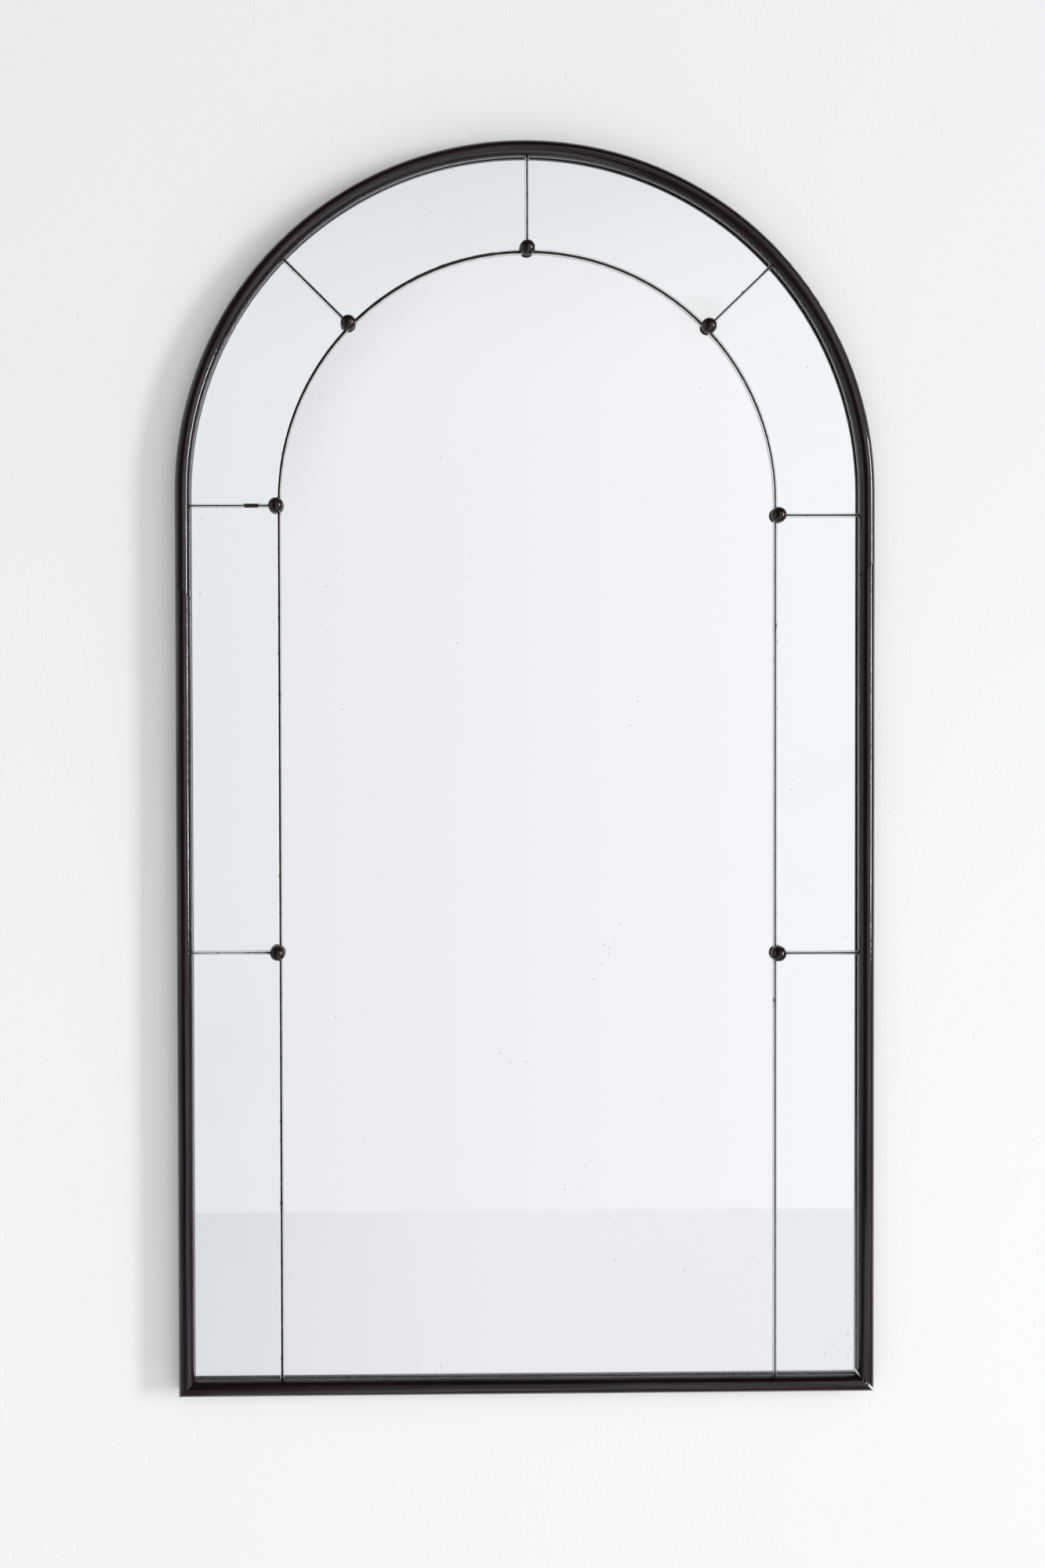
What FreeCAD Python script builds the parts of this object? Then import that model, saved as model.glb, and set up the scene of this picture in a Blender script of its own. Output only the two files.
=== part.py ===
import FreeCAD, Part
import math
import os
from enum import IntEnum
from types import SimpleNamespace

import Sketcher

# An arched wall mirror: a half-round moulding, nine panes, seven studs and the board behind.
# X runs to the right, Z up and Y into the wall. The wall is the plane Y = 0.
# The origin lies midway between the two hanging holes, and all sizes are in millimetres.

SIZES = {
    # Outline of the frame
    "frame_width": 888,
    "frame_height": 1592,
    # Moulding section, from the wall forwards
    "moulding_width": 20,
    "skirt_width": 5,
    "lip_width": 6,
    "lip_height": 4,
    "hanger_thickness": 2,
    "board_thickness": 12,
    "felt_thickness": 1,
    "glass_thickness": 4,
    # Joints of the moulding
    # (a leg is the straight part of the arch's outer edge, under its spring line)
    "left_leg": 113,
    "right_leg": 85,
    "scarf_drop": 20,
    "scarf_gap": 0.8,
    "glue_line": 0.2,
    "open_mitre_gap": 4,
    # Panes (each border is measured from the frame's outer edge to the centre pane)
    "left_border": 132,
    "right_border": 126,
    "crown_border": 140,
    "side_gap": 2,
    "arch_lift": 1.4,
    "joint_gap": 2,
    "left_lower_joint": 565,
    "right_lower_joint": 561,
    "left_joint_drop": 4,
    "right_joint_drop": 17,
    "left_haunch_angle": 44.7,
    "right_haunch_angle": 43.8,
    "arris_width": 1.4,
    "corner_clip": 8,
    # Studs, their washers and their screws
    "stud_radius": 10,
    "stud_height": 11,
    "stud_offset": 4.5,
    "stud_washer_radius": 8.5,
    "stud_washer_thickness": 1,
    "stud_screw_radius": 1.75,
    "stud_screw_head_radius": 3.5,
    "stud_screw_head_depth": 2.4,
    "stud_screw_bite": 8,
    "felt_hole_radius": 3,
    # Screws that hold the board to the frame
    "board_screw_radius": 1.6,
    "board_screw_head_radius": 3,
    "board_screw_head_depth": 2,
    "board_screw_length": 22,
    "bottom_screw_inset": 84,
    "lowest_side_screw": 150,
    "highest_side_screw": 190,
    "arch_start_angle": 20,
    "arch_step_angle": 35,
    # Nails across the joints of the moulding
    "nail_radius": 1,
    "nail_head_radius": 1.6,
    "nail_head_depth": 1,
    "nail_length": 16,
    "nail_set": 2,
    "nail_pitch": 6,
    # Hanging plates
    "hang_drop": 342,
    "hanger_span": 500,
    "hanger_width": 26,
    "hanger_drop": 44,
    "hanging_hole_radius": 4.5,
    "hanging_pocket_radius": 9,
    "hanging_pocket_depth": 7,
    "hanger_screw_radius": 1.75,
    "hanger_screw_head_radius": 3.4,
    "hanger_screw_head_depth": 1.7,
    "hanger_screw_length": 12,
    "first_hanger_screw": 18,
    "hanger_screw_pitch": 22,
    # Clearances
    "board_clearance": 0.5,
    "glass_clearance": 0.5,
    "bore_clearance": 0.1,
    "tip_clearance": 0.5,
}

BOTTOM_SCREWS = range(-1, 2)
SIDE_SCREWS = range(4)
ARCH_SCREWS = range(5)
HANGER_SCREWS = range(2)
CUT_MARGIN = 5

Vector = FreeCAD.Vector
X_AXIS, Y_AXIS, Z_AXIS = Vector(1, 0, 0), Vector(0, 1, 0), Vector(0, 0, 1)
ORIGIN_POINT = (-1, 1)


class Side(IntEnum):
    LEFT = -1
    RIGHT = 1


class Sense(IntEnum):
    DOWN = -1
    UP = 1


class Axis(IntEnum):
    """How a sketch numbers its axes."""

    HORIZONTAL = -1
    VERTICAL = -2


class Point(IntEnum):
    """How a sketch numbers the points of a line or an arc."""

    START = 1
    END = 2
    CENTRE = 3


class Size:
    """A dimension that carries both its value and its spreadsheet formula."""

    def __init__(self, value, text):
        self.value = value
        self.text = text

    def __add__(self, other):
        other = as_size(other)
        return Size(self.value + other.value, f"({self.text} + {other.text})")

    def __sub__(self, other):
        other = as_size(other)
        return Size(self.value - other.value, f"({self.text} - {other.text})")

    def __mul__(self, other):
        other = as_size(other)
        return Size(self.value * other.value, f"({self.text} * {other.text})")

    def __truediv__(self, other):
        other = as_size(other)
        return Size(self.value / other.value, f"({self.text} / {other.text})")

    def __neg__(self):
        return Size(-self.value, f"(0 - {self.text})")

    __radd__ = __add__
    __rmul__ = __mul__


def as_size(number):
    """Wrap a plain number, and pass a Size through."""
    if isinstance(number, Size):
        return number
    return Size(number, f"({number})")


def root(size):
    return Size(math.sqrt(size.value), f"sqrt({size.text})")


def cosine(angle):
    return Size(math.cos(math.radians(angle.value)), f"cos({angle.text})")


def sine(angle):
    return Size(math.sin(math.radians(angle.value)), f"sin({angle.text})")


class Arc:
    """Marks the next stretch of an outline as an arc about a centre."""

    def __init__(self, x, y, counter_clockwise):
        self.centre = (x, y)
        self.counter_clockwise = counter_clockwise


def make_sheet():
    """Write the driving dimensions to the spreadsheet, one aliased cell each."""
    sheet = doc.addObject("Spreadsheet::Sheet", "Sizes")
    for row, (name, value) in enumerate(SIZES.items(), start=1):
        sheet.set(f"A{row}", name)
        sheet.set(f"B{row}", str(value))
        sheet.setAlias(f"B{row}", name)
    doc.recompute()


doc = FreeCAD.newDocument("arched_mirror")
make_sheet()
d = SimpleNamespace(**{name: Size(value, f"Sizes.{name}") for name, value in SIZES.items()})

# Depths, measured from the wall towards the viewer
board_back = d.hanger_thickness
board_front = board_back + d.board_thickness
glass_back = board_front + d.felt_thickness
glass_front = glass_back + d.glass_thickness
lip_front = glass_front + d.lip_height
stud_back = glass_front + d.stud_washer_thickness

# Plan of the frame, with heights measured from its bottom edge
half_width = d.frame_width / 2
spring_height = d.frame_height - half_width
hang_height = d.frame_height - d.hang_drop
scarf_height = {Side.LEFT: spring_height - d.left_leg, Side.RIGHT: spring_height - d.right_leg}
rebate_width = d.moulding_width - d.lip_width
shoulder_line = (d.skirt_width + rebate_width) / 2
board_inset = d.skirt_width + d.board_clearance
glass_inset = rebate_width + d.glass_clearance
board_half = half_width - board_inset
glass_half = half_width - glass_inset

# Plan of the panes
centre_x = (d.left_border - d.right_border) / 2
centre_half = half_width - (d.left_border + d.right_border) / 2
centre_spring = d.frame_height - d.crown_border - centre_half
border_half = centre_half + d.side_gap
border_spring = centre_spring + d.arch_lift
half_gap = d.joint_gap / 2
inner_reach = root(border_half * border_half - half_gap * half_gap)
lower_joint = {Side.LEFT: d.left_lower_joint, Side.RIGHT: d.right_lower_joint}
upper_joint = {
    Side.LEFT: centre_spring - d.left_joint_drop,
    Side.RIGHT: centre_spring - d.right_joint_drop,
}
haunch_angle = {Side.LEFT: d.left_haunch_angle, Side.RIGHT: d.right_haunch_angle}


def bind(target, prop, size):
    """Tie a property of an object to the spreadsheet."""
    target.setExpression(prop, as_size(size).text)


def new_body(label):
    body = doc.addObject("PartDesign::Body", label)
    body.Label = label
    return body


def place(target, x=0, z=0, y=0, rotation=None):
    """Set a piece in the frame, with z measured from the frame's bottom edge."""
    target.Placement = FreeCAD.Placement(Vector(), rotation or FreeCAD.Rotation())
    bind(target, "Placement.Base.x", x)
    bind(target, "Placement.Base.y", y)
    bind(target, "Placement.Base.z", as_size(z) - hang_height)


def new_sketch(body, role, offset=0):
    """Start a sketch on one of the body's own origin planes."""
    sketch = body.newObject("Sketcher::SketchObject", "Sketch")
    plane = next(f for f in body.Origin.OriginFeatures if f.Role == role)
    sketch.AttachmentSupport = (plane, [""])
    sketch.MapMode = "FlatFace"
    bind(sketch, "AttachmentOffset.Base.z", offset)
    return sketch


def fix_coordinate(sketch, kind, axis, point, size):
    """Hold one coordinate of a sketch point. A plain zero keeps it on the axis."""
    if isinstance(size, Size):
        index = sketch.addConstraint(Sketcher.Constraint(kind, *ORIGIN_POINT, *point, size.value))
        bind(sketch, f"Constraints[{index}]", size)
    else:
        sketch.addConstraint(Sketcher.Constraint("PointOnObject", *point, axis))


def fix_point(sketch, point, corner):
    fix_coordinate(sketch, "DistanceX", Axis.VERTICAL, point, corner[0])
    fix_coordinate(sketch, "DistanceY", Axis.HORIZONTAL, point, corner[1])


def flat_vector(corner):
    return Vector(as_size(corner[0]).value, as_size(corner[1]).value, 0)


def add_stretch(sketch, first, last, arc):
    """Add a line or an arc, and return its id with the ids of its first and last points."""
    if arc is None:
        return sketch.addGeometry(Part.LineSegment(first, last)), Point.START, Point.END
    centre = flat_vector(arc.centre)
    angles = [math.atan2(p.y - centre.y, p.x - centre.x) for p in (first, last)]
    ends = (Point.START, Point.END)
    if not arc.counter_clockwise:
        angles.reverse()
        ends = (Point.END, Point.START)
    if angles[1] <= angles[0]:
        angles[1] += 2 * math.pi
    circle = Part.Circle(centre, Z_AXIS, (first - centre).Length)
    return sketch.addGeometry(Part.ArcOfCircle(circle, *angles)), *ends


def draw(sketch, path, closed=True):
    """Draw an outline of corners, with an Arc before each corner that an arc leads to."""
    corners = [item for item in path if not isinstance(item, Arc)]
    arcs = {}
    for item, following in zip(path, path[1:] + path[:1]):
        if isinstance(item, Arc):
            arcs[corners.index(following)] = item
    count = len(corners)
    stretches = []
    for index in range(count if closed else count - 1):
        target = (index + 1) % count
        arc = arcs.get(target)
        first, last = flat_vector(corners[index]), flat_vector(corners[target])
        stretch = add_stretch(sketch, first, last, arc)
        stretches.append(stretch)
        fix_point(sketch, (stretch[0], stretch[1]), corners[index])
        if arc is not None:
            fix_arc_centre(sketch, stretch[0], arc, last - first)
    for one, after in zip(stretches, stretches[1:] + stretches[:1] if closed else stretches[1:]):
        sketch.addConstraint(Sketcher.Constraint("Coincident", one[0], one[2], after[0], after[1]))
    if not closed:
        fix_point(sketch, (stretches[-1][0], stretches[-1][2]), corners[-1])


def fix_arc_centre(sketch, geometry, arc, chord):
    """Two fixed ends leave an arc's centre free across its chord, so hold it that way."""
    if abs(chord.x) > abs(chord.y):
        fix_coordinate(sketch, "DistanceY", Axis.HORIZONTAL, (geometry, Point.CENTRE), arc.centre[1])
    else:
        fix_coordinate(sketch, "DistanceX", Axis.VERTICAL, (geometry, Point.CENTRE), arc.centre[0])


def add_circles(sketch, centres, radius):
    for centre in centres:
        circle = sketch.addGeometry(Part.Circle(flat_vector(centre), Z_AXIS, radius.value))
        fix_point(sketch, (circle, Point.CENTRE), centre)
        index = sketch.addConstraint(Sketcher.Constraint("Radius", circle, radius.value))
        bind(sketch, f"Constraints[{index}]", radius)


def pad(body, sketch, length):
    feature = body.newObject("PartDesign::Pad", "Pad")
    feature.Profile = sketch
    bind(feature, "Length", length)
    return feature


def cut_forwards(body, sketch, depth=None):
    """Cut from the sketch towards the viewer, right through unless a depth is given."""
    feature = body.newObject("PartDesign::Pocket", "Pocket")
    feature.Profile = sketch
    feature.Reversed = True
    if depth is None:
        feature.Type = "ThroughAll"
    else:
        bind(feature, "Length", depth)
    before = volume_of(feature.BaseFeature)
    if not volume_of(feature) < before:
        raise RuntimeError(f"a cut in {body.Label} removed nothing")
    return feature


def volume_of(feature):
    doc.recompute()
    return feature.Shape.Volume


def cut_by(label, blank, bores):
    """A finished piece: its blank with the bores of its fasteners."""
    piece = doc.addObject("Part::Cut", label)
    piece.Label = label
    piece.Base = blank
    piece.Tool = bores
    return piece


# The moulding


def moulding_section(outer_edge):
    """Half-round front, lip over the glass, shoulder for the board and a skirt round it."""
    skirt = outer_edge + d.skirt_width
    rebate = outer_edge + rebate_width
    sight = outer_edge + d.moulding_width
    crest = Arc(outer_edge + d.moulding_width / 2, -lip_front, counter_clockwise=False)
    return [
        (outer_edge, 0),
        (skirt, 0),
        (skirt, -board_front),
        (rebate, -board_front),
        (rebate, -glass_front),
        (sight, -glass_front),
        (sight, -lip_front),
        crest,
        (outer_edge, -lip_front),
    ]


def slant(height, drop, beyond):
    """A triangle that trims an end along a slant, from the outer edge in to the sight edge."""
    run = d.moulding_width
    slope = drop / run
    tip = beyond * CUT_MARGIN
    return [
        (as_size(-CUT_MARGIN), height + slope * CUT_MARGIN),
        (run + CUT_MARGIN, height - drop - slope * CUT_MARGIN),
        (run + CUT_MARGIN, height + slope * CUT_MARGIN + tip),
    ]


def straight_moulding(label, length, foot_drop, head_drop):
    """A straight length, with its outer edge on the Z axis and both ends slanting inwards."""
    body = new_body(label)
    section = new_sketch(body, "XY_Plane")
    draw(section, moulding_section(as_size(0)))
    pad(body, section, length)
    foot = new_sketch(body, "XZ_Plane")
    draw(foot, slant(as_size(0), -foot_drop, beyond=-1))
    cut_forwards(body, foot)
    head = new_sketch(body, "XZ_Plane")
    draw(head, slant(length, head_drop, beyond=1))
    cut_forwards(body, head)
    return body


def arch_blank():
    """The bent hoop with its two legs, swept in one piece and scarfed at both feet."""
    body = new_body("arch_blank")
    foot = {side: scarf_height[side] - d.scarf_drop for side in Side}
    section = new_sketch(body, "XY_Plane", offset=foot[Side.LEFT])
    draw(section, moulding_section(-half_width))
    route = new_sketch(body, "XZ_Plane")
    bend = Arc(0, spring_height, counter_clockwise=False)
    route_points = [
        (-half_width, foot[Side.LEFT]),
        (-half_width, spring_height),
        bend,
        (half_width, spring_height),
        (half_width, foot[Side.RIGHT]),
    ]
    draw(route, route_points, closed=False)
    hoop = body.newObject("PartDesign::AdditivePipe", "Hoop")
    hoop.Profile = section
    hoop.Spine = (route, [])
    doc.recompute()
    scarfs = new_sketch(body, "XZ_Plane")
    for side in Side:
        draw(scarfs, scarf_triangle(side, foot[side]))
    cut_forwards(body, scarfs)
    place(body)
    return body


def scarf_triangle(side, foot):
    """What a scarf takes off the outer side of a leg."""
    slope = d.scarf_drop / d.moulding_width
    outer = side * (half_width + CUT_MARGIN)
    inner = side * (half_width - d.moulding_width - CUT_MARGIN)
    low = foot - slope * CUT_MARGIN
    return [(outer, low), (inner, low), (outer, foot + d.scarf_drop + slope * CUT_MARGIN)]


def frame_blanks():
    """The four lengths of moulding, before they are bored for nails and screws."""
    left_length = scarf_height[Side.LEFT] - d.scarf_gap - d.glue_line
    left = straight_moulding("left_blank", left_length, d.moulding_width, d.scarf_drop)
    place(left, x=-half_width, z=d.glue_line)
    right_top = scarf_height[Side.RIGHT] - d.scarf_gap
    right_length = right_top - d.open_mitre_gap
    right = straight_moulding("right_blank", right_length, d.scarf_drop, d.moulding_width)
    place(right, x=half_width, z=right_top, rotation=FreeCAD.Rotation(Y_AXIS, 180))
    rail = straight_moulding("rail_blank", d.frame_width, d.moulding_width, d.moulding_width)
    place(rail, x=half_width, rotation=FreeCAD.Rotation(Y_AXIS, -90))
    return {
        "arch_frame": arch_blank(),
        "left_stile": left,
        "right_stile": right,
        "bottom_rail": rail,
    }


# The board, the felt and the panes


def arched_outline(half, bottom, spring, shift=0):
    """Straight sides under a semicircle."""
    left, right = -half, half
    if isinstance(shift, Size):
        left, right = shift - half, shift + half
    top = Arc(shift, spring, counter_clockwise=True)
    return [(left, bottom), (right, bottom), (right, spring), top, (left, spring)]


def sheet_body(label, outline, back, thickness):
    """A flat piece, cut to an outline and set at a depth from the wall."""
    body = new_body(label)
    sketch = new_sketch(body, "XZ_Plane", offset=back)
    draw(sketch, outline)
    pad(body, sketch, thickness)
    place(body)
    return body


def board_blank():
    """The plywood board, with a pocket behind each hanging hole."""
    outline = arched_outline(board_half, board_inset, spring_height)
    body = sheet_body("board_blank", outline, board_back, d.board_thickness)
    pockets = new_sketch(body, "XZ_Plane", offset=board_back)
    centres = [(side * (d.hanger_span / 2), hang_height) for side in Side]
    add_circles(pockets, centres, d.hanging_pocket_radius)
    cut_forwards(body, pockets, d.hanging_pocket_depth)
    return body


def backing_felt():
    """The dark layer between the board and the glass, pierced for the stud screws."""
    outline = arched_outline(glass_half, glass_inset, spring_height)
    body = sheet_body("backing_felt", outline, board_front, d.felt_thickness)
    holes = new_sketch(body, "XZ_Plane", offset=board_front)
    add_circles(holes, STUDS.values(), d.felt_hole_radius)
    cut_forwards(body, holes)
    return body


def haunch_along(side):
    """Unit vector outwards along a haunch joint."""
    return side * cosine(haunch_angle[side]), sine(haunch_angle[side])


def haunch_across(side, sense):
    """Unit vector square to a haunch joint, towards its upper or its lower pane."""
    angle = haunch_angle[side]
    return -sense * side * sine(angle), sense * cosine(angle)


def haunch_points(side, sense):
    """Ends of a pane's edge along a haunch joint, on the inner and the outer arc."""
    along = haunch_along(side)
    across = haunch_across(side, sense)
    rise = border_spring - spring_height
    lead = centre_x * along[0] + rise * along[1]
    spread = centre_x * across[0] + rise * across[1]
    offset_square = centre_x * centre_x + rise * rise + half_gap * half_gap
    short = offset_square + d.joint_gap * spread - glass_half * glass_half
    outer_reach = root(lead * lead - short) - lead
    foot = moved((centre_x, border_spring), (half_gap, across))
    return [moved(foot, (reach, along)) for reach in (inner_reach, outer_reach)]


def side_pane(side, bottom, top):
    outer = side * glass_half
    inner = centre_x + side * border_half
    return [(outer, bottom), (inner, bottom), (inner, top), (outer, top)]


def inner_arc(side):
    return Arc(centre_x, border_spring, counter_clockwise=side == Side.RIGHT)


def outer_arc(side):
    return Arc(0, spring_height, counter_clockwise=side == Side.LEFT)


def haunch_pane(side):
    """From the upper side joint round to the slanting joint."""
    outer = side * glass_half
    inner = centre_x + side * border_half
    foot = upper_joint[side] + half_gap
    near, far = haunch_points(side, Sense.DOWN)
    return [
        (outer, foot),
        (inner, foot),
        (inner, border_spring),
        inner_arc(side),
        near,
        far,
        outer_arc(side),
        (outer, spring_height),
    ]


def crown_pane(side):
    """From the slanting joint up to the joint over the crown."""
    near, far = haunch_points(side, Sense.UP)
    edge = centre_x + side * half_gap
    inner = border_spring + inner_reach
    outer = spring_height + root(glass_half * glass_half - edge * edge)
    return [near, inner_arc(side), (edge, inner), (edge, outer), outer_arc(side), far]


def moved(point, *moves):
    """A point shifted by a distance along each of some directions."""
    x, z = point
    for distance, direction in moves:
        x = x + distance * direction[0]
        z = z + distance * direction[1]
    return x, z


def corner_clip(corner, outward, away):
    """A triangle that takes off a pane's corner where its stud's screw passes."""
    reach = d.corner_clip + CUT_MARGIN
    return [
        moved(corner, (reach, outward), (-CUT_MARGIN, away)),
        moved(corner, (-CUT_MARGIN, outward), (reach, away)),
        moved(corner, (-CUT_MARGIN, outward), (-CUT_MARGIN, away)),
    ]


def side_clip(side, height, sense):
    corner = (centre_x + side * border_half, height)
    return corner_clip(corner, (side, 0), (0, sense))


def haunch_clip(side, sense):
    near = haunch_points(side, sense)[0]
    return corner_clip(near, haunch_along(side), haunch_across(side, sense))


def crown_clip(side):
    corner = (centre_x + side * half_gap, border_spring + inner_reach)
    return corner_clip(corner, (0, Sense.UP), (side, 0))


def grind_arris(body, feature):
    """Take the sharp edge off the pane's front."""
    doc.recompute()
    front = min(feature.Shape.Faces, key=lambda face: face.CenterOfMass.y)
    number = 1 + [face.isSame(front) for face in feature.Shape.Faces].index(True)
    arris = body.newObject("PartDesign::Chamfer", "Arris")
    arris.Base = (feature, [f"Face{number}"])
    bind(arris, "Size", d.arris_width)


def pane(label, outline, clips):
    """A mirror pane with a ground arris, and its corners clipped under the studs."""
    body = sheet_body(label, outline, glass_back, d.glass_thickness)
    feature = body.Tip
    for clip in clips:
        sketch = new_sketch(body, "XZ_Plane", offset=glass_back)
        draw(sketch, clip)
        feature = cut_forwards(body, sketch)
    grind_arris(body, feature)
    return body


def panes():
    """The arched centre pane and the eight panes of the border."""
    arch = arched_outline(centre_half, glass_inset, centre_spring, centre_x)
    pieces = [pane("centre_pane", arch, [])]
    for side in Side:
        name = side.name.lower()
        low, high = lower_joint[side], upper_joint[side]
        outlines = {
            "lower": (
                side_pane(side, glass_inset, low - half_gap),
                [side_clip(side, low - half_gap, Sense.DOWN)],
            ),
            "middle": (
                side_pane(side, low + half_gap, high - half_gap),
                [
                    side_clip(side, low + half_gap, Sense.UP),
                    side_clip(side, high - half_gap, Sense.DOWN),
                ],
            ),
            "haunch": (
                haunch_pane(side),
                [side_clip(side, high + half_gap, Sense.UP), haunch_clip(side, Sense.DOWN)],
            ),
            "crown": (crown_pane(side), [haunch_clip(side, Sense.UP), crown_clip(side)]),
        }
        for part, (outline, clips) in outlines.items():
            pieces.append(pane(f"{name}_{part}_pane", outline, clips))
    return pieces


# Studs and fasteners, all turned about an axis square to the wall


def turned_body(label, path):
    """A round piece from its half section: radius along X, depth from the wall along -Y."""
    body = new_body(label)
    sketch = new_sketch(body, "XY_Plane")
    draw(sketch, path)
    turning = body.newObject("PartDesign::Revolution", "Turning")
    turning.Profile = sketch
    turning.ReferenceAxis = (sketch, ["V_Axis"])
    turning.Angle = 360
    return body


def stud_places():
    """Stud centres on the joints, a little outside the centre pane."""
    reach = centre_half + d.stud_offset
    places = {}
    for side in Side:
        name = side.name.lower()
        places[f"stud_{name}_lower"] = (centre_x + side * reach, lower_joint[side])
        places[f"stud_{name}_middle"] = (centre_x + side * reach, upper_joint[side])
        arch_centre = (centre_x, border_spring)
        places[f"stud_{name}_haunch"] = moved(arch_centre, (reach, haunch_along(side)))
    places["stud_crown"] = (centre_x, border_spring + reach)
    return places


def stud(label, centre):
    """A ball cut flat a little behind its middle, bored from behind for its screw."""
    equator = stud_back + d.stud_height - d.stud_radius
    below = d.stud_height - d.stud_radius
    foot_radius = root(d.stud_radius * d.stud_radius - below * below)
    bore = d.stud_screw_radius + d.bore_clearance
    bore_end = stud_back + d.stud_screw_bite + d.tip_clearance
    path = [
        (bore, -stud_back),
        (foot_radius, -stud_back),
        Arc(0, -equator, counter_clockwise=False),
        (0, -(stud_back + d.stud_height)),
        (0, -bore_end),
        (bore, -bore_end),
    ]
    body = turned_body(label, path)
    place(body, x=centre[0], z=centre[1])
    return body


def countersunk(label, back, head_radius, head_depth, shank_radius, length):
    """A countersunk screw that points forwards, with its head flush at a depth."""
    face = -back if isinstance(back, Size) else 0
    neck = as_size(face) - head_depth
    tip = as_size(face) - length
    shoulder = tip + shank_radius
    path = [
        (0, face),
        (head_radius, face),
        (shank_radius, neck),
        (shank_radius, shoulder),
        (0, tip),
    ]
    return turned_body(label, path)


def nail(label, head_radius, shank_radius, length):
    """A small headed nail, from its head at the origin."""
    path = [
        (0, 0),
        (head_radius, 0),
        (head_radius, -d.nail_head_depth),
        (shank_radius, -d.nail_head_depth),
        (shank_radius, shank_radius - length),
        (0, -length),
    ]
    return turned_body(label, path)


def stud_washer():
    bore = d.stud_screw_radius + d.bore_clearance
    path = [
        (bore, -glass_front),
        (d.stud_washer_radius, -glass_front),
        (d.stud_washer_radius, -stud_back),
        (bore, -stud_back),
    ]
    return turned_body("washer_piece", path)


def group(label, piece, seats):
    """Identical fasteners as one group of separate solids."""
    links = []
    for seat in seats:
        link = doc.addObject("App::Link", "Seat")
        link.LinkedObject = piece
        link.LinkTransform = False
        place(link, **seat)
        links.append(link)
    compound = doc.addObject("Part::Compound", label)
    compound.Label = label
    compound.Links = links
    return compound


def flat_seats(centres):
    return [{"x": x, "z": z} for x, z in centres]


def board_screw_places():
    """Along the bottom rail, up both stiles and round the arch, on the middle of the shoulder."""
    line = half_width - shoulder_line
    bottom_pitch = half_width - d.bottom_screw_inset
    places = [(step * bottom_pitch, shoulder_line) for step in BOTTOM_SCREWS]
    side_run = spring_height - d.highest_side_screw - d.lowest_side_screw
    side_pitch = side_run / SIDE_SCREWS[-1]
    for side in Side:
        for step in SIDE_SCREWS:
            places.append((side * line, d.lowest_side_screw + step * side_pitch))
    for step in ARCH_SCREWS:
        angle = d.arch_start_angle + step * d.arch_step_angle
        places.append((line * cosine(angle), spring_height + line * sine(angle)))
    return places


def nail_seats():
    """Two nails up through each mitre, and two in from the side through each scarf."""
    depth = -lip_front
    seats = []
    for side in Side:
        middle = scarf_height[side] - d.scarf_drop / 2
        inwards = FreeCAD.Rotation(Z_AXIS, -90 * side)
        upwards = FreeCAD.Rotation(X_AXIS, -90)
        for step in (-1, 1):
            across = half_width - d.moulding_width / 2 + step * d.nail_pitch / 2
            seats.append({"x": side * across, "y": depth, "z": d.nail_set, "rotation": upwards})
            edge = side * (half_width - d.nail_set)
            height = middle + step * d.nail_pitch / 2
            seats.append({"x": edge, "y": depth, "z": height, "rotation": inwards})
    return seats


def hanger_screw_places():
    places = []
    for side in Side:
        for step in HANGER_SCREWS:
            drop = d.first_hanger_screw + step * d.hanger_screw_pitch
            places.append((side * (d.hanger_span / 2), hang_height - drop))
    return places


def fasteners():
    """Each set of fasteners, and the bores that fit over it."""
    slack = d.bore_clearance
    grip = d.felt_thickness + d.glass_thickness + d.stud_washer_thickness
    stud_screw_length = d.board_thickness + grip + d.stud_screw_bite
    countersunk_sets = {
        "stud_screws": (
            STUDS.values(),
            board_back,
            d.stud_screw_head_radius,
            d.stud_screw_head_depth,
            d.stud_screw_radius,
            stud_screw_length,
        ),
        "board_screws": (
            board_screw_places(),
            board_back,
            d.board_screw_head_radius,
            d.board_screw_head_depth,
            d.board_screw_radius,
            d.board_screw_length,
        ),
        "hanger_screws": (
            hanger_screw_places(),
            0,
            d.hanger_screw_head_radius,
            d.hanger_screw_head_depth,
            d.hanger_screw_radius,
            d.hanger_screw_length,
        ),
    }
    groups, bores = [], {}
    for label, (places, back, head, depth, shank, length) in countersunk_sets.items():
        seats = flat_seats(places)
        screw = countersunk(f"{label}_piece", back, head, depth, shank, length)
        bore_length = length + d.tip_clearance
        bore = countersunk(f"{label}_bore", back, head + slack, depth, shank + slack, bore_length)
        groups.append(group(label, screw, seats))
        bores[label] = group(f"{label}_bores", bore, seats)
    nail_piece = nail("nail_piece", d.nail_head_radius, d.nail_radius, d.nail_length)
    bore_length = d.nail_length + d.tip_clearance
    nail_bore = nail("nail_bore", d.nail_head_radius + slack, d.nail_radius + slack, bore_length)
    groups.append(group("joint_nails", nail_piece, nail_seats()))
    bores["joint_nails"] = group("joint_nails_bores", nail_bore, nail_seats())
    groups.append(group("stud_washers", stud_washer(), flat_seats(STUDS.values())))
    return groups, bores


def join_bores(label, bores):
    joined = doc.addObject("Part::Compound", label)
    joined.Links = bores
    return joined


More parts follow.
